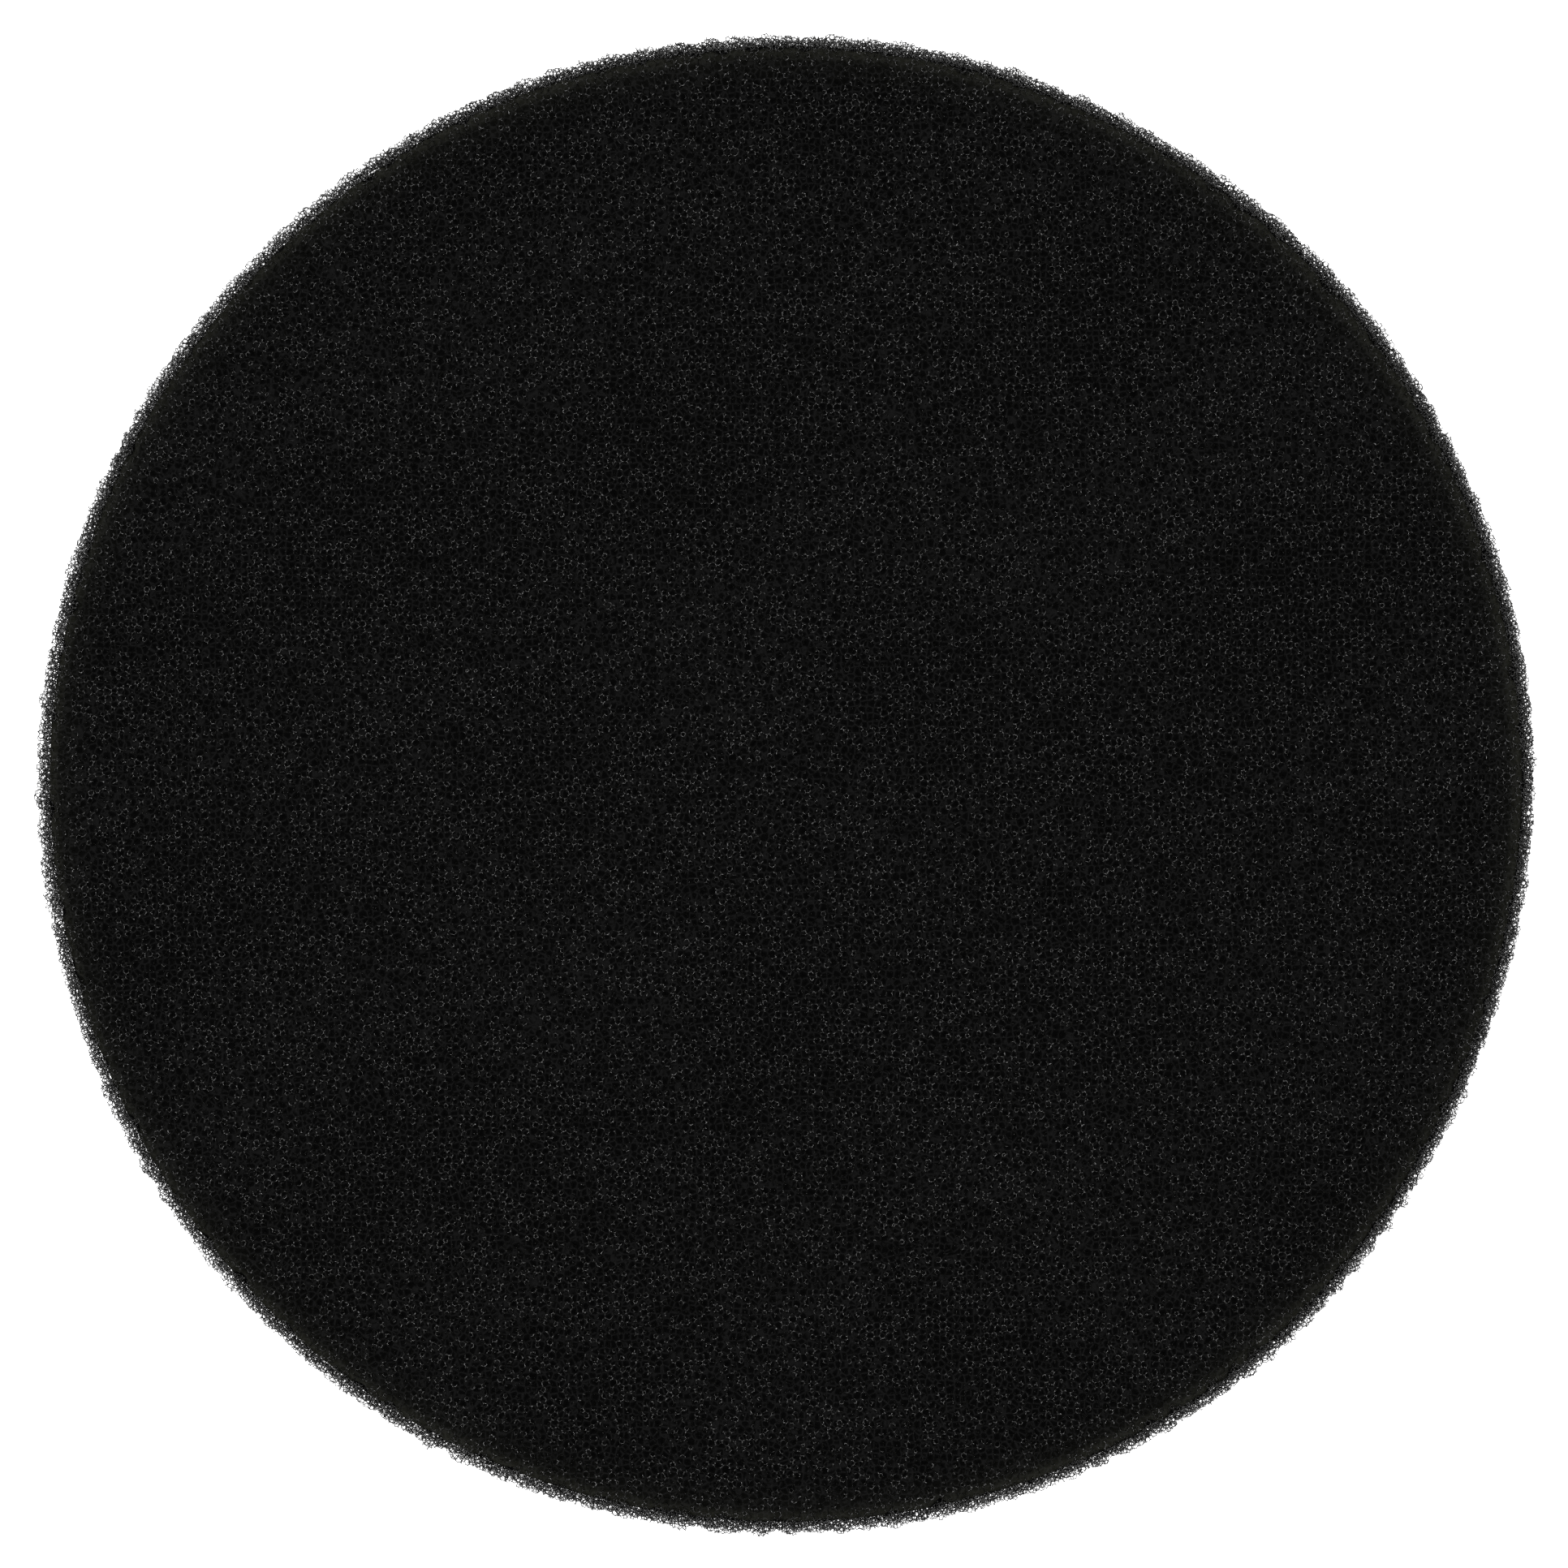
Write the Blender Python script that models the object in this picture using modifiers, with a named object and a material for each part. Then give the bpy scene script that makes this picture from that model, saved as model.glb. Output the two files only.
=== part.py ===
"""A round foam polishing pad for a hook-and-loop backing plate.

The pad is a laminate: an open-cell foam disc, a film of hot-melt adhesive, the
knitted ground of the loop fabric, and the loop pile that the backing plate's hooks
grip. It lies on its loops. The origin is at the centre of the loop face, +Z points
out of the working face, and all lengths are in metres.
"""

import math

import bpy

# Driving dimensions
FACE_DIAMETER = 0.150
BACK_DIAMETER = 0.145  # at the foam, which narrows a little towards the back
FOAM_THICKNESS = 0.025
FACE_EDGE_RADIUS = 0.0008
BACK_EDGE_RADIUS = 0.0005
FABRIC_MARGIN = 0.0005  # how far the loop fabric stops short of the foam's back edge
FILM_THICKNESS = 0.0003
GROUND_THICKNESS = 0.0006
PILE_HEIGHT = 0.0017
LAYER_GAP = 0.0003  # clearance between the laminate's separate solids

# Levels, from the loop tips up
GROUND_BOTTOM = PILE_HEIGHT + LAYER_GAP
FILM_BOTTOM = GROUND_BOTTOM + GROUND_THICKNESS + LAYER_GAP
FOAM_BOTTOM = FILM_BOTTOM + FILM_THICKNESS + LAYER_GAP
FOAM_TOP = FOAM_BOTTOM + FOAM_THICKNESS

FABRIC_DIAMETER = BACK_DIAMETER - 2 * FABRIC_MARGIN
FACETS = 144  # flats round every circle
ARC_STEPS = 5
SHARP_ANGLE = math.radians(35)


def clear_scene():
    for leftover in list(bpy.data.objects):
        bpy.data.objects.remove(leftover, do_unlink=True)


def principled(name, colour, roughness):
    material = bpy.data.materials.new(name)
    material.use_nodes = True
    shader = material.node_tree.nodes["Principled BSDF"]
    shader.inputs["Base Color"].default_value = (*colour, 1.0)
    shader.inputs["Roughness"].default_value = roughness
    shader.inputs["Metallic"].default_value = 0.0
    return material


def arc(centre_x, centre_z, radius, start_deg, end_deg):
    """Points (x, z) along a circular arc, ends included."""
    points = []
    for step in range(ARC_STEPS + 1):
        angle = math.radians(start_deg + (end_deg - start_deg) * step / ARC_STEPS)
        points.append((centre_x + radius * math.cos(angle), centre_z + radius * math.sin(angle)))
    return points


def foam_profile():
    """The foam's half section, from the axis out over the face and down the wall."""
    face_x = FACE_DIAMETER / 2 - FACE_EDGE_RADIUS
    back_x = BACK_DIAMETER / 2 - BACK_EDGE_RADIUS
    profile = [(0.0, FOAM_TOP)]
    profile += arc(face_x, FOAM_TOP - FACE_EDGE_RADIUS, FACE_EDGE_RADIUS, 90, 0)
    profile += arc(back_x, FOAM_BOTTOM + BACK_EDGE_RADIUS, BACK_EDGE_RADIUS, 0, -90)
    profile.append((0.0, FOAM_BOTTOM))
    return profile


def finish(part, pad, collection, material):
    """Shades a part, gives it its material and hangs it on the pad's empty."""
    part.data.materials.append(material)
    part.data.shade_smooth()
    part.data.set_sharp_from_angle(angle=SHARP_ANGLE)
    for home in list(part.users_collection):
        home.objects.unlink(part)
    collection.objects.link(part)
    part.parent = pad
    return part


def turned(name, profile):
    """A solid of revolution about Z from a profile of (x, z) points."""
    mesh = bpy.data.meshes.new(name)
    edges = [(i, i + 1) for i in range(len(profile) - 1)]
    mesh.from_pydata([(x, 0.0, z) for x, z in profile], edges, [])
    part = bpy.data.objects.new(name, mesh)
    bpy.context.scene.collection.objects.link(part)
    screw = part.modifiers.new("turn", "SCREW")
    screw.steps = FACETS
    screw.render_steps = FACETS
    screw.use_merge_vertices = True
    screw.merge_threshold = 0.00001
    screw.use_smooth_shade = True
    return part


def layer(name, diameter, bottom, thickness):
    """One flat round layer of the laminate."""
    bpy.ops.mesh.primitive_cylinder_add(
        vertices=FACETS,
        radius=diameter / 2,
        depth=thickness,
        location=(0.0, 0.0, bottom + thickness / 2),
    )
    part = bpy.context.active_object
    part.name = name
    part.data.name = name
    return part


def main():
    clear_scene()
    collection = bpy.data.collections.new("polishing_pad")
    bpy.context.scene.collection.children.link(collection)
    pad = bpy.data.objects.new("pad_origin", None)
    collection.objects.link(pad)

    foam = principled("black_foam", (0.012, 0.012, 0.012), 0.6)
    film = principled("hot_melt_film", (0.030, 0.029, 0.027), 0.35)
    ground = principled("knitted_ground", (0.045, 0.045, 0.048), 0.85)
    pile = principled("nylon_loops", (0.055, 0.055, 0.060), 0.7)

    finish(turned("foam_disc", foam_profile()), pad, collection, foam)
    finish(layer("adhesive_film", FABRIC_DIAMETER, FILM_BOTTOM, FILM_THICKNESS), pad, collection, film)
    finish(layer("backing_cloth", FABRIC_DIAMETER, GROUND_BOTTOM, GROUND_THICKNESS), pad, collection, ground)
    finish(layer("loop_pile", FABRIC_DIAMETER, 0.0, PILE_HEIGHT), pad, collection, pile)


main()
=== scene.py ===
"""The looks of the foam polishing pad: its network of struts, its loop fabric, stage and camera."""

import itertools
import math

import bpy
import numpy as np
from mathutils import Euler, Matrix, Vector

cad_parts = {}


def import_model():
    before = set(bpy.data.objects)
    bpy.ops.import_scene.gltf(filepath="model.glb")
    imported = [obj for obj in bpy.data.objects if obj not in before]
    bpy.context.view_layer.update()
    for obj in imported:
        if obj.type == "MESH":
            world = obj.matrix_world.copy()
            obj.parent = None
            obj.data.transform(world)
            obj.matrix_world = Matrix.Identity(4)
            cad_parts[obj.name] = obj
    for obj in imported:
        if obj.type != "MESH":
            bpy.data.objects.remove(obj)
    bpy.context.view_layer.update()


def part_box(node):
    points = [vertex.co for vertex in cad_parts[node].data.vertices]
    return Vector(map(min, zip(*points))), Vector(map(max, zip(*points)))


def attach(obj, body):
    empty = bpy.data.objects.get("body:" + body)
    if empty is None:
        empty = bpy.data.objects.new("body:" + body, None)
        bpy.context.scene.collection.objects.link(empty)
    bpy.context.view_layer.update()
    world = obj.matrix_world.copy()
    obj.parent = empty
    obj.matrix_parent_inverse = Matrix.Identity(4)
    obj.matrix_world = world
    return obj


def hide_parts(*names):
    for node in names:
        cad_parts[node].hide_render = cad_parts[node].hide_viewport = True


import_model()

# ---------------------------------------------------------------- sizes, in metres
FOAM_LOW, FOAM_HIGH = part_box("foam_disc")
FILM_LOW, FILM_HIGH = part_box("adhesive_film")
CLOTH_LOW, CLOTH_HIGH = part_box("backing_cloth")
PILE_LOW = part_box("loop_pile")[0]

FACE_RADIUS = (FOAM_HIGH[0] - FOAM_LOW[0]) / 2
FABRIC_RADIUS = (CLOTH_HIGH[0] - CLOTH_LOW[0]) / 2
FABRIC_MARGIN = 0.0005  # how far the fabric stops short of the foam's back edge
BACK_RADIUS = FABRIC_RADIUS + FABRIC_MARGIN  # the foam narrows to this at its back
FACE_EDGE_RADIUS = 0.0008
FOAM_TOP = FOAM_HIGH[2]
FOAM_BOTTOM = FILM_HIGH[2]  # the real layers touch, so each reaches across the gap between the solids
FOAM_THICKNESS = FOAM_TOP - FOAM_BOTTOM

CELL = 0.00066  # side of a cube that holds as much as one foam cell
TILE_CELLS = 700  # cells in the cube of foam that repeats
TILE = CELL * TILE_CELLS ** (1 / 3)
TILE_TURN = Euler((0.61, 0.37, 0.83))  # so that no face of the pad runs along the cubes
STRUT_RADIUS = 0.000042  # from a strut's middle line to its three edges
STRUT_SPREAD = (0.82, 1.22)  # how much thinner and thicker single corners are
FILM_ANGLE = math.radians(54.7)  # between a strut and the films that end at its corner
TORN_LENGTH = (0.6, 1.0)  # how much is left of the way from a torn strut's corner to the surface
STUB_SHARE = 0.85  # the share of cut struts that leave a stub
LEAST_STUB = 0.00004
STUB_TAPER = 0.25
FACE_SHELL = 0.00035  # depth of open network over the dark core
WALL_SHELL = 0.00025  # the same on the wall
RIM_OPENING = 0.0015  # how far the core stands back under the face's edge
RIM_DEPTH = 0.0055  # how far down the core reaches its usual depth again
RIM_FADE = 0.3 * RIM_DEPTH  # over this much more, the raggedness of the rim dies out
RIM_BAND = 0.0025  # struts this close to the outline belong to the wall's pieces
BURIED_STUB = 0.00020  # a corner closer to the core than this has no stub running into it
CORE_BEVEL = (0.0004, 0.0003)  # along the core's top and down its side
FIRST_RING = 0.002  # radius of the innermost ring of the core's mesh
FACE_RINGS = 14
RIM_RINGS = 16
WALL_RINGS = 8
FACE_SECTORS = 12
WALL_SECTORS = 12
SHARP_ANGLE = math.radians(55)
ROUND_STEPS = 720  # steps round the core and the film
TINY = 1e-9
PARALLEL = 1e-12  # a determinant this small means that three planes share no point

STRUT_COLOUR = (0.0042, 0.0042, 0.0036)
STRUT_ROUGHNESS = 0.31
ROUGHNESS_SPREAD = 0.12
CORE_PAINTED_STRUT_LIGHT = 0.0090  # painted light: grey of the deeper struts picked out on the core, lighter than the struts' own colour
CORE_PAINTED_HOLE_SHADE = 0.0016  # painted shade: grey of the holes between them
RIM_GLOW = 0.0055  # how far inside the outline the painted light, for light from beside the pad, starts on the depths
RIM_PAINTED_LIGHT = (0.0140, 0.0142, 0.0106)  # what that painted light adds to the core's colour at the rim

LOOP_ROWS = 0.0013  # from one row of loops to the next
LOOP_STEP = 0.0011  # from one loop to the next in its row
LOOP_RINGS = 7
LOOP_HALF_WIDTH = 0.00045
LOOP_SWING = math.radians(140)  # how far a loop's curve runs on either side of its tip
LOOP_PIECES = 3
LOOP_MARGIN = 0.0010  # how far the outermost loops stand inside the fabric's edge
LOOP_SCATTER = 0.00010
LOOP_TURN = 0.5  # spread of the loops' directions, in radians
LOOP_LEAN = (0.05, 0.10)  # how far the whole pile leans for its height
LEAN_SPREAD = 0.17
TIP_LEVELS = (0.00002, 0.00050)  # the lowest and highest of the tips over the pile's lowest level
WIDTH_SPREAD = (0.8, 1.25)
THREAD_RADIUS = 0.00008

STITCH = 0.0011  # length of one stitch of the ground
STITCH_RADIUS = 0.00022  # at its belly
STITCH_WAIST = 0.00013  # where it passes through the next one
STITCH_FLATNESS = 0.7
STITCH_SCATTER = 0.00003
STITCH_MARGIN = 0.0002
FABRIC_BEVEL = 0.0001

CELL_SEED = 7
FORM_SEED = 11
STRUT_SEED = 23
STITCH_SEED = 29
LOOP_SEED = 31


# ---------------------------------------------------------------- the foam's network
def even_points(count, rng, steps=40, spacing=1.25, push_share=0.4):
    """Points in a unit cube that repeats, pushed apart until they are evenly spread. Spacing is the
    distance that they try to keep, for each one's even share of the cube."""
    points = rng.random((count, 3))
    reach = spacing / count ** (1 / 3)
    for _ in range(steps):
        gap = points[:, None] - points[None]
        gap -= np.round(gap)
        far = np.linalg.norm(gap, axis=2)
        push = np.clip(reach - far, 0, None) / np.maximum(far, TINY)
        np.fill_diagonal(push, 0)
        points = (points + push_share * (push[..., None] * gap).sum(1)) % 1
    return points


def cell_corners(seeds, near=22):
    """The corners of the seeds' Voronoi cells: their places, and for each the four seeds around it
    with the images of the cube that they are in. Only so many nearest neighbours of a seed can
    shape its cell."""
    gap = seeds[None] - seeds[:, None]
    image = -np.round(gap).astype(int)
    gap = gap + image
    far = np.linalg.norm(gap, axis=2)
    np.fill_diagonal(far, np.inf)
    order = np.argsort(far, axis=1)[:, :near]
    first, second, third = np.array(list(itertools.combinations(range(near), 3))).T
    places, owners, images = [], [], []
    for i in range(len(seeds)):
        to = gap[i, order[i]]
        half = (to * to).sum(1) / 2
        a, b, c = to[first], to[second], to[third]
        bc = np.cross(b, c)
        det = (a * bc).sum(1)
        det[np.abs(det) < PARALLEL] = np.inf
        meet = half[first, None] * bc
        meet += half[second, None] * np.cross(c, a)
        meet += half[third, None] * np.cross(a, b)
        meet /= det[:, None]
        ids = np.column_stack([order[i][first], order[i][second], order[i][third]])
        keep = (meet @ to.T <= half + TINY).all(1) & (ids > i).all(1) & np.isfinite(det)
        ids = ids[keep]
        places.append(seeds[i] + meet[keep])
        owners.append(np.column_stack([np.full(len(ids), i), ids]))
        images.append(np.concatenate([np.zeros((len(ids), 1, 3), int), image[i][ids]], axis=1))
    return np.concatenate(places), np.concatenate(owners), np.concatenate(images)


PAIRS = list(itertools.combinations(range(4), 2))


def pair_index(p, q):
    return PAIRS.index((min(p, q), max(p, q)))


PAIR_TABLE = np.array([[0 if p == q else pair_index(p, q) for q in range(4)] for p in range(4)])


def join_corners(owners, images, seed_count):
    """Each corner has four struts, and strut k is the one that seed k doesn't touch. Gives the corner
    that each strut leads to, the image of the cube that it is in, and the strut's three edges at both
    ends, each as the number of the pair of seeds whose film ends there."""
    count = len(owners)
    keys = np.zeros((count, 4), np.int64)
    bases = np.zeros((count, 4, 3), int)
    edges = np.zeros((count, 4, 3), int)
    for k in range(4):
        others = np.array([s for s in range(4) if s != k])
        rank = others[np.argsort(owners[:, others], axis=1)]
        ids = np.take_along_axis(owners, rank, 1)
        where = np.take_along_axis(images, rank[..., None], 1)
        bases[:, k] = where[:, 0]
        for column in ids.T:
            keys[:, k] = keys[:, k] * seed_count + column
        # from one of the seeds to another is at most two cubes, so each step is one of five
        for column in (where[:, 1:] - where[:, :1] + 2).reshape(count, 6).T:
            keys[:, k] = keys[:, k] * 5 + column
        for e in range(3):
            edges[:, k, e] = PAIR_TABLE[rank[:, e], rank[:, (e + 1) % 3]]
    order = np.argsort(keys.ravel(), kind="stable").reshape(-1, 2)
    here = order.ravel()
    there = order[:, ::-1].ravel()
    leads_to = np.zeros(count * 4, int)
    shift = np.zeros((count * 4, 3), int)
    far_edges = np.zeros((count * 4, 3), int)
    leads_to[here] = there // 4
    shift[here] = bases.reshape(-1, 3)[here] - bases.reshape(-1, 3)[there]
    far_edges[here] = edges.reshape(-1, 3)[there]
    return leads_to.reshape(count, 4), shift.reshape(count, 4, 3), edges, far_edges.reshape(count, 4, 3)


def foam_tile(relaxing_steps=4):
    """One repeating cube of foam as tables over its corners, in metres and turned for the pad."""
    seeds = even_points(TILE_CELLS, np.random.default_rng(CELL_SEED))
    places, owners, images = cell_corners(seeds)
    leads_to, shift, edges, far_edges = join_corners(owners, images, TILE_CELLS)
    for _ in range(relaxing_steps):  # real films pull the struts' lengths even
        places = (places + (places[leads_to] + shift).mean(1)) / 2
    turn = np.array(TILE_TURN.to_matrix()) * TILE
    reach = (places[leads_to] + shift - places[:, None]) @ turn.T
    along = reach / np.linalg.norm(reach, axis=2, keepdims=True)
    films = np.zeros((len(places), 6, 3))
    for index, (p, q) in enumerate(PAIRS):
        r, s = (k for k in range(4) if k not in (p, q))
        films[:, index] = along[:, r] + along[:, s]
    films /= np.linalg.norm(films, axis=2, keepdims=True)
    # a strut's edges run anticlockwise about it at both of its ends
    for k in range(4):
        a, b, c = (np.take_along_axis(films, edges[:, k, e, None, None], 1)[:, 0] for e in range(3))
        wrong = (np.cross(b - a, c - a) * along[:, k]).sum(1) < 0
        edges[wrong, k] = edges[wrong, k][:, [0, 2, 1]]
        far_edges[wrong, k] = far_edges[wrong, k][:, [0, 2, 1]]
    # a corner has a small face towards each of its four cells, away from the strut opposite
    cells = np.zeros((len(places), 4, 3), int)
    for p in range(4):
        cells[:, p] = [pair_index(p, q) for q in range(4) if q != p]
        a, b, c = (films[:, cells[0, p, e]] for e in range(3))
        wrong = (np.cross(b - a, c - a) * along[:, p]).sum(1) > 0
        cells[wrong, p] = cells[wrong, p][:, [0, 2, 1]]
    return {
        "places": places @ turn.T,
        "turn": turn,
        "leads_to": leads_to,
        "shift": shift,
        "reach": reach,
        "along": along,
        "films": films,
        "edges": edges,
        "far_edges": far_edges,
        "cells": cells,
    }


# ---------------------------------------------------------------- the foam's form
def waves(rng, count, length, height):
    """A slow random field over (x, y, z): a sum of plane waves."""
    ways = rng.normal(size=(count, 3))
    ways *= 2 * math.pi / length / np.linalg.norm(ways, axis=1, keepdims=True)
    phases = rng.uniform(0, 2 * math.pi, count)
    return lambda p: height * np.sin(p @ ways.T + phases).sum(-1) / math.sqrt(count / 2)


form_rng = np.random.default_rng(FORM_SEED)
uneven_outline = waves(form_rng, count=9, length=0.045, height=0.00012)
uneven_face = waves(form_rng, count=9, length=0.030, height=0.00008)
uneven_film = waves(form_rng, count=9, length=0.006, height=0.00012)
ragged_cut = waves(form_rng, count=24, length=0.0024, height=0.00016)
ragged_depths = waves(form_rng, count=24, length=0.0022, height=0.00030)


def wall_radius(z):
    return BACK_RADIUS + (FACE_RADIUS - BACK_RADIUS) * (z - FOAM_BOTTOM) / FOAM_THICKNESS


def rim_share(z):
    """1 at the rim, down to where the core reaches its usual depth, and 0 a little below that."""
    return np.clip((RIM_DEPTH + RIM_FADE - FOAM_TOP + z) / RIM_FADE, 0, 1)


def depth(p):
    """How far inside the foam's outer form points lie, negative outside."""
    wall = wall_radius(p[..., 2]) - np.hypot(p[..., 0], p[..., 1]) + uneven_outline(p)
    wall += ragged_cut(p) * rim_share(p[..., 2])
    face = FOAM_TOP - p[..., 2] + uneven_face(p)
    corner = FACE_EDGE_RADIUS - np.hypot(
        np.clip(FACE_EDGE_RADIUS - wall, 0, None), np.clip(FACE_EDGE_RADIUS - face, 0, None)
    )
    least = np.minimum(wall, face)
    return np.where(least > FACE_EDGE_RADIUS, least, corner)


def core_radius(z):
    """The radius of the dark core under the network, at a height."""
    down = np.clip((FOAM_TOP - z) / RIM_DEPTH, 0, 1)
    return wall_radius(z) - WALL_SHELL - (RIM_OPENING - WALL_SHELL) * (1 - down)


def core_wander(p):
    """How far the core's side stands out from its plain radius: with the outline, and with ragged
    hollows at the rim."""
    return uneven_outline(p) - np.clip(ragged_depths(p), 0, None) * rim_share(p[..., 2])


def over_core(p):
    """How far points lie outside the core, negative inside it."""
    over_face = p[..., 2] - (FOAM_TOP - FACE_SHELL + uneven_face(p))
    beside = np.hypot(p[..., 0], p[..., 1]) - core_radius(p[..., 2]) - core_wander(p)
    return np.maximum(over_face, beside)


# ---------------------------------------------------------------- filling the form with network
def fill_form(tile):
    """The tile's corners in every copy of it that the shell passes through: their places, their
    numbers in the tile, a key that also tells the copies apart, and the width that the keys count in."""
    reach = TILE * 0.9  # a little over half of the cube's diagonal
    steps = math.ceil((FACE_RADIUS + FOAM_THICKNESS + TILE) / TILE)
    middle = np.array([0.0, 0.0, (FOAM_TOP + FOAM_BOTTOM) / 2])
    span = np.arange(-steps, steps + 1)
    copies = np.stack(np.meshgrid(span, span, span, indexing="ij"), -1).reshape(-1, 3)
    centres = (copies + 0.5) @ tile["turn"].T + middle
    near = (depth(centres) > -reach) & (over_core(centres) > -reach)
    near &= centres[:, 2] > FOAM_BOTTOM - reach
    count = len(tile["places"])
    width = 2 * steps + 5  # with room for struts that lead out of the outermost copies
    places, numbers, keys = [], [], []
    for copy in copies[near]:
        here = tile["places"] + copy @ tile["turn"].T + middle
        keep = np.flatnonzero((over_core(here) > 0) & (here[:, 2] > FOAM_BOTTOM))
        keep = keep[depth(here[keep]) > 0]
        i, j, k = copy + steps + 2
        places.append(here[keep])
        numbers.append(keep)
        keys.append(((i * width + j) * width + k) * count + keep)
    places, numbers, keys = map(np.concatenate, (places, numbers, keys))
    order = np.argsort(keys)
    return places[order], numbers[order], keys[order], width


def network(tile, rng):
    """The whole network: its corners' places, its vertices, and its triangles and its quads, each with
    the corners that they belong to."""
    places, numbers, keys, width = fill_form(tile)
    count = len(places)
    thick = STRUT_RADIUS / math.sin(FILM_ANGLE) * rng.uniform(*STRUT_SPREAD, count)
    vertices = places[:, None] + tile["films"][numbers] * thick[:, None, None]

    # each corner has six vertices, one on each of its films. A strut leads to the neighbour that is
    # found under the key it wants, where that is in the network too
    steps = tile["shift"][numbers]
    jump = (steps[..., 0] * width + steps[..., 1]) * width + steps[..., 2]
    wanted = (keys - numbers)[:, None] + jump * len(tile["places"]) + tile["leads_to"][numbers]
    found = np.minimum(np.searchsorted(keys, wanted), count - 1)
    found[keys[found] != wanted] = -1

    edges = tile["edges"][numbers] + 6 * np.arange(count)[:, None, None]
    whole = found > np.arange(count)[:, None]
    near_ring = edges[whole]
    far_ring = tile["far_edges"][numbers][whole] + 6 * found[whole][:, None]

    # a strut that leaves the network ends torn off at the foam's surface, or inside the core
    lone, which = np.nonzero(found < 0)
    reach = tile["reach"][numbers[lone], which]
    along = tile["along"][numbers[lone], which]
    inside, beyond = depth(places[lone]), depth(places[lone] + reach)
    torn = beyond < 0
    share = np.where(torn, inside / np.maximum(inside - beyond, TINY), 1)
    share *= rng.uniform(*TORN_LENGTH, len(lone))
    start = vertices.reshape(-1, 3)[edges[lone, which]]
    offset = ((start - places[lone][:, None]) * along[:, None]).sum(2)
    run = (share * np.linalg.norm(reach, axis=1))[:, None] - offset
    stub = (run.min(1) > LEAST_STUB) & (rng.random(len(lone)) < STUB_SHARE)
    stub &= torn | (over_core(places[lone]) > BURIED_STUB)
    tips = start[stub] + along[stub][:, None] * run[stub][..., None]
    tips += STUB_TAPER * (tips.mean(1, keepdims=True) - tips)
    tip_ring = count * 6 + np.arange(len(tips) * 3).reshape(-1, 3)

    near_ring = np.concatenate([near_ring, edges[lone[stub], which[stub]]])
    far_ring = np.concatenate([far_ring, tip_ring])
    owner = np.concatenate([np.nonzero(whole)[0], lone[stub]])
    cells = tile["cells"][numbers] + 6 * np.arange(count)[:, None, None]
    bare = edges[lone[~stub], which[~stub]]
    triangles = np.concatenate([cells.reshape(-1, 3), bare, tip_ring])
    triangle_owner = np.concatenate([np.repeat(np.arange(count), 4), lone[~stub], lone[stub]])
    vertices = np.concatenate([vertices.reshape(-1, 3), tips.reshape(-1, 3)])
    quads = side_faces(near_ring, far_ring)
    return places, vertices, triangles, triangle_owner, quads, np.repeat(owner, 3)


# ---------------------------------------------------------------- meshes and pieces
def side_faces(near_ring, far_ring):
    """The quads between rings of vertices, which run anticlockwise about the way from near to far."""
    after = np.roll(np.arange(near_ring.shape[1]), -1)
    return np.stack([near_ring, near_ring[:, after], far_ring[:, after], far_ring], -1).reshape(-1, 4)


def mesh_from(name, vertices, triangles, quads, chart=None):
    """A smooth mesh from arrays, holding only the vertices that its faces use. A chart gives each
    point its place on the map that the colours are baked to."""
    used, index = np.unique(np.concatenate([triangles.ravel(), quads.ravel()]), return_inverse=True)
    mesh = bpy.data.meshes.new(name)
    mesh.vertices.add(len(used))
    mesh.vertices.foreach_set("co", vertices[used].astype(np.float32).ravel())
    mesh.loops.add(len(index))
    mesh.loops.foreach_set("vertex_index", index.astype(np.int32))
    sizes = np.concatenate([np.full(len(triangles), 3), np.full(len(quads), 4)])
    starts = np.concatenate([[0], np.cumsum(sizes)[:-1]])
    mesh.polygons.add(len(sizes))
    mesh.polygons.foreach_set("loop_start", starts.astype(np.int32))
    mesh.update(calc_edges=True)
    if chart:
        flat = chart(vertices[used])
        flat = (flat - flat.min(0)) / (flat.max(0) - flat.min(0))
        mesh.uv_layers.new(name="OFBake").data.foreach_set("uv", flat[index].astype(np.float32).ravel())
    mesh.shade_smooth()
    mesh.set_sharp_from_angle(angle=SHARP_ANGLE)
    return mesh


def seen_from_above(p):
    return p[:, :2]


def seen_from_beside(angle):
    """A chart of the wall, seen from the direction at an angle about the pad's axis."""
    return lambda p: np.column_stack([p[:, 1] * math.cos(angle) - p[:, 0] * math.sin(angle), p[:, 2]])


def piece(name, mesh, material):
    made = bpy.data.objects.new(name, mesh)
    bpy.context.scene.collection.objects.link(made)
    made.data.materials.append(material)
    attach(made, "root")
    return made


def foam_network(material):
    """The open network in sectors, those of the working face apart from those of the wall."""
    places, vertices, triangles, triangle_owner, quads, quad_owner = network(
        foam_tile(), np.random.default_rng(STRUT_SEED)
    )
    turn = (np.arctan2(places[:, 1], places[:, 0]) / (2 * math.pi)) % 1
    at_rim = np.hypot(places[:, 0], places[:, 1]) > wall_radius(places[:, 2]) - RIM_BAND
    on_wall = at_rim | (places[:, 2] < FOAM_TOP - 2 * FACE_SHELL)
    groups = (~on_wall, "foam_face", FACE_SECTORS), (on_wall, "foam_wall", WALL_SECTORS)
    for group, name, sectors in groups:
        for sector in range(sectors):
            mine = group & (np.floor(turn * sectors) == sector)
            title = f"{name}_{sector + 1:02d}"
            beside = seen_from_beside((sector + 0.5) / sectors * 2 * math.pi)
            chart = seen_from_above if name == "foam_face" else beside
            own_triangles = triangles[mine[triangle_owner]]
            mesh = mesh_from(title, vertices, own_triangles, quads[mine[quad_owner]], chart)
            piece(title, mesh, material)


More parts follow.
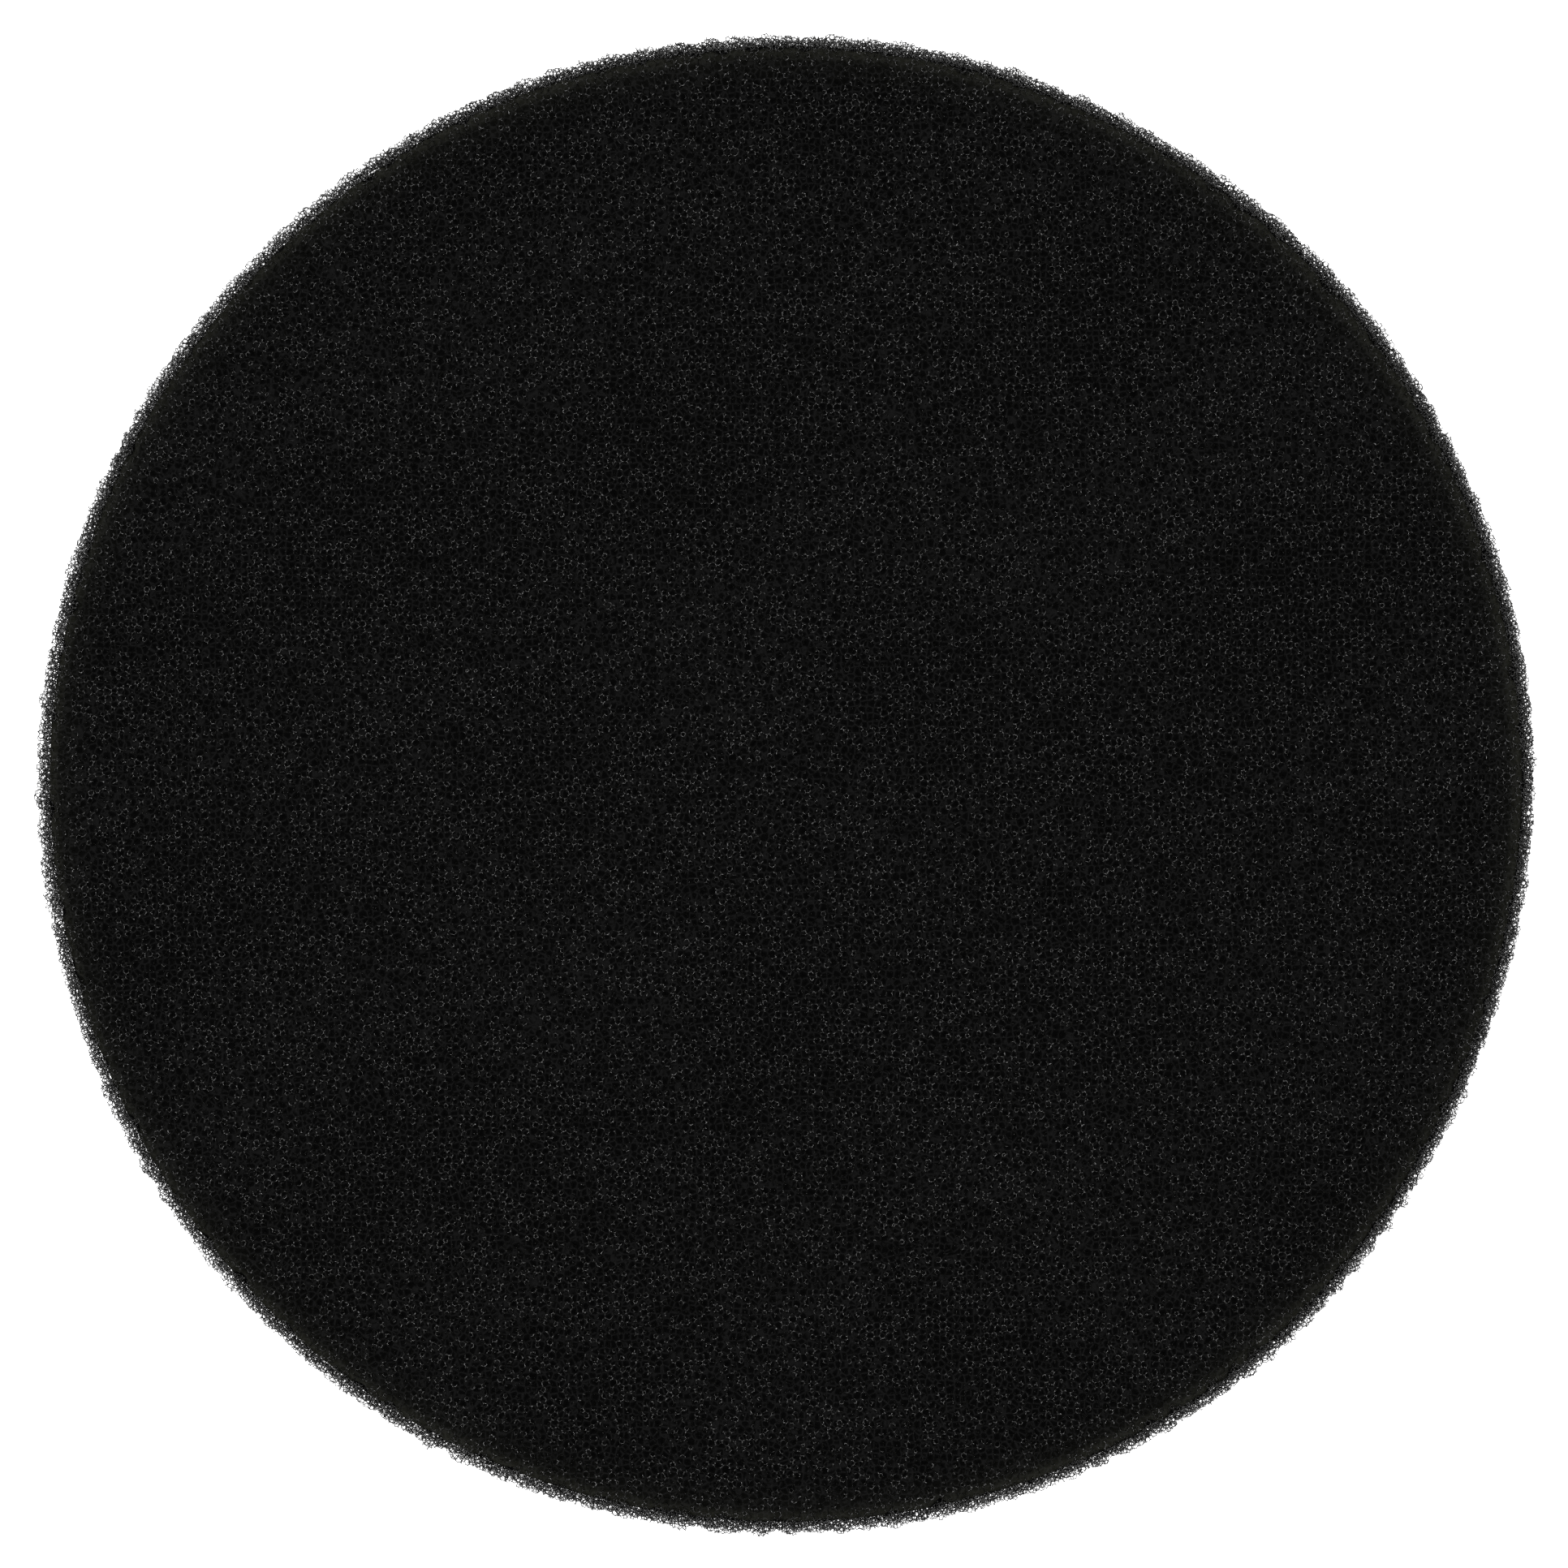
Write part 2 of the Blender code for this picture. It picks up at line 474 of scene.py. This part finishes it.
def turned_mesh(name, profile, steps, wander, lift=None):
    """A closed turned mesh from (radius, z) points, first and last on the axis. One field widens it
    here and narrows it there, and another may raise and lower it."""
    rings = np.array(profile[1:-1])
    turn = np.arange(steps) * 2 * math.pi / steps
    ways = np.column_stack([np.cos(turn), np.sin(turn)])
    grid = np.zeros((len(rings), steps, 3))
    grid[..., :2] = rings[:, 0, None, None] * ways
    grid[..., 2] = rings[:, 1, None]
    grid[..., :2] += wander(grid)[..., None] * ways
    vertices = np.concatenate([grid.reshape(-1, 3), [(0, 0, profile[0][1]), (0, 0, profile[-1][1])]])
    if lift:
        vertices[:, 2] += lift(vertices)
    numbers = np.arange(len(rings) * steps).reshape(len(rings), steps)
    top, bottom = numbers.size, numbers.size + 1
    quads = side_faces(numbers[1:], numbers[:-1])
    first, last = numbers[0], numbers[-1]
    triangles = np.concatenate(
        [
            np.column_stack([np.full(steps, top), first, np.roll(first, -1)]),
            np.column_stack([np.full(steps, bottom), np.roll(last, -1), last]),
        ]
    )
    return mesh_from(name, vertices, triangles, quads)


def core_lift(p):
    """How far the core rises and falls with the working face, which fades out down the wall."""
    return uneven_face(p) * np.clip((p[..., 2] - FOAM_BOTTOM) / (FOAM_THICKNESS - FACE_SHELL), 0, 1)


def foam_core(material):
    """The dark body that stands for everything deeper than the open network."""
    top = FOAM_TOP - FACE_SHELL
    foot = top - RIM_DEPTH - RIM_FADE
    edge = core_radius(top) - CORE_BEVEL[0]
    profile = [(0.0, top)]
    profile += [(r, top) for r in np.linspace(FIRST_RING, edge, FACE_RINGS)]
    heights = np.linspace(top - CORE_BEVEL[1], foot, RIM_RINGS)
    heights = [*heights, *np.linspace(foot, FOAM_BOTTOM, WALL_RINGS)[1:]]
    profile += [(float(core_radius(z)), float(z)) for z in heights]
    profile.append((0.0, FOAM_BOTTOM))
    mesh = turned_mesh("foam_core", profile, ROUND_STEPS, core_wander, core_lift)
    core = piece("foam_core", mesh, material)
    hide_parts("foam_disc")


# ---------------------------------------------------------------- the backing
def layer_mesh(name, low, high, bevel, steps):
    """A flat round layer of the backing, with an uneven edge."""
    edge = FABRIC_RADIUS
    profile = [(0.0, high), (edge / 2, high), (edge - bevel, high), (edge, high - bevel)]
    profile += [(edge, low + bevel), (edge - bevel, low), (edge / 2, low), (0.0, low)]
    return turned_mesh(name, profile, steps, uneven_film)


def glue_film(material):
    """The film of hot-melt adhesive, which was squeezed out a little unevenly at its edge."""
    low, high = FILM_LOW[2], FILM_HIGH[2]
    mesh = layer_mesh("glue_film", low, high, (high - low) / 3, ROUND_STEPS)
    film = piece("glue_film", mesh, material)
    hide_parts("adhesive_film")


def chain_rows(rng):
    """The ground's chains of stitches, along Y and side by side: rings of vertices, and the quads and
    caps between them."""
    vertices, quads, caps = [], [], []
    total = 0
    corners = np.arange(3) * 2 * math.pi / 3
    for x in np.arange(-FABRIC_RADIUS + LOOP_ROWS, FABRIC_RADIUS - LOOP_ROWS / 2, LOOP_ROWS):
        half = math.sqrt(FABRIC_RADIUS**2 - x**2) - STITCH_MARGIN
        y = np.arange(-half, half, STITCH / 2)
        size = np.where(np.arange(len(y)) % 2, STITCH_RADIUS, STITCH_WAIST)
        middle = x + rng.normal(0, STITCH_SCATTER, len(y))
        ring = np.zeros((len(y), 3, 3))
        ring[..., 0] = middle[:, None] - size[:, None] * np.sin(corners)
        ring[..., 1] = y[:, None]
        ring[..., 2] = CLOTH_LOW[2] - size[:, None] * np.cos(corners) * STITCH_FLATNESS
        numbers = total + np.arange(ring.shape[0] * 3).reshape(-1, 3)
        quads.append(side_faces(numbers[:-1], numbers[1:]))
        caps += [numbers[0][::-1], numbers[-1]]
        vertices.append(ring.reshape(-1, 3))
        total += numbers.size
    return np.concatenate(vertices), np.array(caps), np.concatenate(quads)


def nylon_loops(rng):
    """Every loop of the pile: a thread that leaves the ground, turns over at its tip and comes back.
    Gives rings of vertices over loops, steps along the thread and corners."""
    rows = np.arange(-FABRIC_RADIUS, FABRIC_RADIUS, LOOP_ROWS)
    x, y = np.meshgrid(rows, np.arange(-FABRIC_RADIUS, FABRIC_RADIUS, LOOP_STEP))
    y[:, ::2] += LOOP_STEP / 2
    roots = np.column_stack([x.ravel(), y.ravel()]) + rng.normal(0, LOOP_SCATTER, (x.size, 2))
    roots = roots[np.hypot(*roots.T) < FABRIC_RADIUS - LOOP_MARGIN]
    count = len(roots)
    top = CLOTH_LOW[2] + THREAD_RADIUS
    tip = PILE_LOW[2] + THREAD_RADIUS + rng.uniform(*TIP_LEVELS, count)
    swing = np.linspace(-LOOP_SWING, LOOP_SWING, LOOP_RINGS)
    turn = rng.normal(math.pi / 2, LOOP_TURN, count)
    way = np.column_stack([np.cos(turn), np.sin(turn)])
    lean = rng.normal(0, LEAN_SPREAD, (count, 2)) + LOOP_LEAN
    wide = LOOP_HALF_WIDTH * rng.uniform(*WIDTH_SPREAD, count)
    z = tip[:, None] + ((top - tip) / (1 - math.cos(LOOP_SWING)))[:, None] * (1 - np.cos(swing))
    path = np.zeros((count, LOOP_RINGS, 3))
    path[..., :2] = roots[:, None] + (wide[:, None] * np.sin(swing))[..., None] * way[:, None]
    path[..., :2] += lean[:, None] * (top - z)[..., None]
    path[..., 2] = z
    forward = np.gradient(path, axis=1)
    forward /= np.linalg.norm(forward, axis=2, keepdims=True)
    level = np.zeros((count, 1, 3))
    level[:, 0, 0], level[:, 0, 1] = -way[:, 1], way[:, 0]
    out = np.cross(forward, level)
    out /= np.linalg.norm(out, axis=2, keepdims=True)
    other = np.cross(forward, out)
    corners = np.arange(3)[:, None] * 2 * math.pi / 3
    around = np.cos(corners) * out[:, :, None] + np.sin(corners) * other[:, :, None]
    return path[:, :, None] + THREAD_RADIUS * around


def loop_pieces(material):
    rings = nylon_loops(np.random.default_rng(LOOP_SEED))
    made = []
    for number, part in enumerate(np.array_split(rings, LOOP_PIECES)):
        numbers = np.arange(part.size // 3).reshape(part.shape[:3])
        quads = side_faces(numbers[:, :-1].reshape(-1, 3), numbers[:, 1:].reshape(-1, 3))
        caps = np.concatenate([numbers[:, 0, ::-1], numbers[:, -1]])
        title = f"nylon_loops_{number + 1:02d}"
        mesh = mesh_from(title, part.reshape(-1, 3), caps, quads, seen_from_above)
        made.append(piece(title, mesh, material))
    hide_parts("loop_pile")
    return made


def loop_fabric(ground_material, loop_material):
    """The loop fabric: a knitted ground with its chains of stitches, and the loops that stand on it."""
    mesh = layer_mesh("knitted_ground", CLOTH_LOW[2], FILM_LOW[2], FABRIC_BEVEL, ROUND_STEPS // 2)
    ground = piece("knitted_ground", mesh, ground_material)
    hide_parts("backing_cloth")
    vertices, caps, quads = chain_rows(np.random.default_rng(STITCH_SEED))
    mesh = mesh_from("stitch_rows", vertices, caps, quads, seen_from_above)
    rows = piece("stitch_rows", mesh, ground_material)
    loops = loop_pieces(loop_material)


# ---------------------------------------------------------------- materials
class Nodes:
    """Short names for building a material's nodes."""

    def __init__(self, name, roughness, specular=0.5):
        self.material = bpy.data.materials.new(name)
        self.material.use_nodes = True
        self.tree = self.material.node_tree
        self.shader = self.tree.nodes["Principled BSDF"]
        self.shader.inputs["Roughness"].default_value = roughness
        self.shader.inputs["Specular IOR Level"].default_value = specular

    def add(self, kind, *first_sockets, **values):
        """A node with its settings and sockets set to values, or linked to other nodes' outputs. Its
        first sockets may be given by order instead of by name."""
        node = self.tree.nodes.new(kind)
        for key, value in [*enumerate(first_sockets), *values.items()]:
            if isinstance(value, bpy.types.NodeSocket):
                self.tree.links.new(value, node.inputs[key])
            elif isinstance(key, int) or key in node.inputs:
                node.inputs[key].default_value = value
            else:
                setattr(node, key, value)
        return node

    def place(self):
        return self.add("ShaderNodeTexCoord").outputs["Object"]

    def ramp(self, value, *stops):
        """A colour ramp over value, from (position, (r, g, b)) stops."""
        node = self.add("ShaderNodeValToRGB", Fac=value)
        marks = node.color_ramp.elements
        while len(marks) < len(stops):
            marks.new(0.5)
        for mark, (position, colour) in zip(marks, stops):
            mark.position = position
            mark.color = (*colour, 1)
        return node.outputs["Color"]

    def between(self, value, low, high):
        """A value from 0 to 1 carried over to a range."""
        node = self.add("ShaderNodeMapRange", Value=value)
        node.inputs["To Min"].default_value = low
        node.inputs["To Max"].default_value = high
        return node.outputs["Result"]

    def share(self, value, low, high):
        """How far a value has come from low to high, from 0 to 1."""
        node = self.add("ShaderNodeMapRange", Value=value)
        node.inputs["From Min"].default_value = low
        node.inputs["From Max"].default_value = high
        return node.outputs["Result"]

    def bump(self, height, distance, strength=1.0):
        node = self.add("ShaderNodeBump", Strength=strength, Distance=distance, Height=height)
        self.feed("Normal", node.outputs["Normal"])

    def feed(self, socket, value):
        self.tree.links.new(value, self.shader.inputs[socket])


def times(colour, factor):
    return tuple(c * factor for c in colour)


def strut_material():
    """Black polyurethane: glossy strut faces, in places a little greyer and duller."""
    made = Nodes("foam_struts", STRUT_ROUGHNESS)
    place = made.place()
    patches = made.add("ShaderNodeTexNoise", Vector=place, Scale=90.0, Detail=3.0)
    stops = (0.30, times(STRUT_COLOUR, 0.8)), (0.70, times(STRUT_COLOUR, 1.2))
    made.feed("Base Color", made.ramp(patches.outputs["Fac"], *stops))
    gloss = made.add("ShaderNodeTexNoise", Vector=place, Scale=900.0, Detail=1.0)
    low, high = STRUT_ROUGHNESS - ROUGHNESS_SPREAD, STRUT_ROUGHNESS + ROUGHNESS_SPREAD
    made.feed("Roughness", made.between(gloss.outputs["Fac"], low, high))
    return made.material


def core_material():
    """The deeper cells: their struts picked out faintly in painted light, painted shade in the black
    holes between them, and painted light near the rim of the face, for light that comes in from beside
    the pad."""
    made = Nodes("foam_depths", roughness=0.8, specular=0.0)
    place = made.place()
    cells = made.add(
        "ShaderNodeTexVoronoi", feature="DISTANCE_TO_EDGE", Vector=place, Scale=1 / CELL, Randomness=0.8
    )
    # painted light on the deeper struts, lighter than the struts' own colour, and painted shade in the
    # holes
    stops = (0.03, (CORE_PAINTED_STRUT_LIGHT,) * 3), (0.14, (CORE_PAINTED_HOLE_SHADE * 2,) * 3), (0.50, (CORE_PAINTED_HOLE_SHADE,) * 3)
    painted_depth_shading = made.ramp(cells.outputs["Distance"], *stops)
    level = made.add("ShaderNodeVectorMath", place, (1, 1, 0), operation="MULTIPLY").outputs["Vector"]
    radius = made.add("ShaderNodeVectorMath", level, operation="LENGTH").outputs["Value"]
    near_rim = made.share(radius, FACE_RADIUS - RIM_GLOW, FACE_RADIUS - RIM_OPENING)
    shares = (0.0, 0.0), (0.35, 0.06), (0.7, 0.16), (1.0, 1.0)
    # painted light: the core's colour lightened near the rim, for light that comes in through the wall
    painted_rim_light = made.ramp(near_rim, *((position, times(RIM_PAINTED_LIGHT, share)) for position, share in shares))
    height = made.add("ShaderNodeSeparateXYZ", Vector=place).outputs["Z"]
    near_face = made.share(height, FOAM_TOP - 4 * FACE_SHELL, FOAM_TOP - 2 * FACE_SHELL)
    both = made.add(
        "ShaderNodeMix", data_type="RGBA", blend_type="ADD", Factor=near_face, A=painted_depth_shading, B=painted_rim_light
    )
    made.feed("Base Color", both.outputs["Result"])
    grain = made.add("ShaderNodeTexNoise", Vector=place, Scale=3.0 / CELL, Detail=1.0)
    made.bump(grain.outputs["Fac"], 0.0001)
    return made.material


def film_material():
    """Dark hot-melt film, satin and a little mottled."""
    made = Nodes("hot_melt", roughness=0.35)
    mottle = made.add("ShaderNodeTexNoise", Vector=made.place(), Scale=700.0, Detail=4.0)
    stops = (0.35, (0.012, 0.012, 0.010)), (0.65, (0.024, 0.023, 0.020))
    made.feed("Base Color", made.ramp(mottle.outputs["Fac"], *stops))
    made.feed("Roughness", made.between(mottle.outputs["Fac"], 0.25, 0.50))
    made.bump(mottle.outputs["Fac"], 0.0001)
    return made.material


def knit_material():
    """Charcoal knit: fine threads across, with painted shade between them, and a faint sheen."""
    made = Nodes("charcoal_knit", roughness=0.85, specular=0.3)
    made.shader.inputs["Sheen Weight"].default_value = 0.15
    place = made.place()
    threads = made.add(
        "ShaderNodeTexWave", bands_direction="Y", Vector=place, Scale=900.0, Distortion=2.0
    )
    # the darker colour between the threads is painted shade
    stops = (0.0, (0.010, 0.010, 0.011)), (1.0, (0.030, 0.030, 0.032))
    made.feed("Base Color", made.ramp(threads.outputs["Fac"], *stops))
    made.bump(threads.outputs["Fac"], 0.00008)
    return made.material


def nylon_material():
    """Charcoal nylon thread, a little lighter and darker from loop to loop."""
    made = Nodes("charcoal_nylon", roughness=0.55)
    made.shader.inputs["Sheen Weight"].default_value = 0.1
    place = made.place()
    tone = made.add("ShaderNodeTexNoise", Vector=place, Scale=420.0, Detail=3.0)
    stops = (0.30, (0.014, 0.014, 0.015)), (0.70, (0.042, 0.042, 0.046))
    made.feed("Base Color", made.ramp(tone.outputs["Fac"], *stops))
    made.feed("Roughness", made.between(tone.outputs["Fac"], 0.42, 0.68))
    return made.material


# ---------------------------------------------------------------- stage
CAMERA_LENS = 190  # in millimetres, as the sensor's width is
SENSOR_WIDTH = 36
CAMERA_TILT = math.radians(2.4)
CAMERA_TURN = math.radians(18)  # the tilt is towards the right and up
FRAME_SHARE = 0.9584  # the pad's diameter over the picture's width
AIM = (0.00020, 0.00018)  # the point of the face at the picture's centre
LIGHTS = (  # azimuth, elevation and share of the power of each softbox
    (135, 52, 9.0),
    (20, 60, 8.0),
    (255, 48, 8.0),
    (75, 35, 6.0),
    (310, 38, 6.0),
    (190, 40, 7.0),
)
LIGHT_POWER = 0.245  # watts for each share
LIGHT_SIZE = 0.22
LIGHT_DISTANCE = 0.9
FILL = 0.1  # strength of the dim light from all round
FLOOR_SIZE = 6
FLOOR_GAP = 0.0002  # between the floor and the loops' lowest level


def direction(azimuth, elevation):
    """The unit vector towards an azimuth, anticlockwise from +X, and an elevation."""
    level = math.cos(elevation)
    return Vector((math.cos(azimuth) * level, math.sin(azimuth) * level, math.sin(elevation)))


def place_facing(thing, target, away, distance):
    """Puts a camera or lamp away from a target, facing it, with +Y upwards in its view."""
    across = Vector((0, 1, 0)).cross(away).normalized()
    up = away.cross(across)
    thing.location = target + away * distance
    thing.rotation_mode = "QUATERNION"
    thing.rotation_quaternion = Matrix((across, up, away)).transposed().to_quaternion()
    bpy.context.scene.collection.objects.link(thing)


def camera():
    data = bpy.data.cameras.new("camera")
    data.lens = CAMERA_LENS
    data.sensor_width = SENSOR_WIDTH
    data.clip_start = 0.01
    data.clip_end = 10
    cam = bpy.data.objects.new("camera", data)
    distance = 2 * FACE_RADIUS / FRAME_SHARE * CAMERA_LENS / SENSOR_WIDTH
    away = direction(CAMERA_TURN, math.pi / 2 - CAMERA_TILT)
    place_facing(cam, Vector((*AIM, FOAM_TOP)), away, distance)
    bpy.context.scene.camera = cam


def floor():
    bpy.ops.mesh.primitive_plane_add(size=FLOOR_SIZE, location=(0, 0, PILE_LOW[2] - FLOOR_GAP))
    plane = bpy.context.active_object
    plane.name = "floor"
    made = Nodes("floor_white", roughness=0.9)
    made.shader.inputs["Base Color"].default_value = (0.92, 0.92, 0.92, 1)
    made.shader.inputs["Emission Color"].default_value = (1, 1, 1, 1)
    made.shader.inputs["Emission Strength"].default_value = 1.0
    plane.data.materials.append(made.material)


def lights():
    for number, (azimuth, elevation, power) in enumerate(LIGHTS):
        data = bpy.data.lights.new(f"softbox_{number + 1}", "AREA")
        data.shape = "DISK"
        data.size = LIGHT_SIZE
        data.energy = power * LIGHT_POWER
        lamp = bpy.data.objects.new(data.name, data)
        away = direction(math.radians(azimuth), math.radians(elevation))
        place_facing(lamp, Vector(), away, LIGHT_DISTANCE)


def world():
    """White to the camera, a dim grey fill to everything else."""
    made = bpy.data.worlds.new("studio")
    bpy.context.scene.world = made
    made.use_nodes = True
    nodes, links = made.node_tree.nodes, made.node_tree.links
    fill = nodes["Background"]
    fill.inputs["Color"].default_value = (1, 1, 1, 1)
    fill.inputs["Strength"].default_value = FILL
    seen = nodes.new("ShaderNodeBackground")
    seen.inputs["Color"].default_value = (1, 1, 1, 1)
    seen.inputs["Strength"].default_value = 1.0
    path = nodes.new("ShaderNodeLightPath")
    mix = nodes.new("ShaderNodeMixShader")
    links.new(path.outputs["Is Camera Ray"], mix.inputs["Fac"])
    links.new(fill.outputs[0], mix.inputs[1])
    links.new(seen.outputs[0], mix.inputs[2])
    links.new(mix.outputs[0], nodes["World Output"].inputs["Surface"])


def main():
    camera()
    floor()
    lights()
    world()
    bpy.context.scene.view_settings.view_transform = "Standard"
    bpy.context.scene.cycles.use_denoising = False  # it would smear the foam's fine glints
    glue_film(film_material())
    loop_fabric(knit_material(), nylon_material())
    foam_core(core_material())
    foam_network(strut_material())


main()
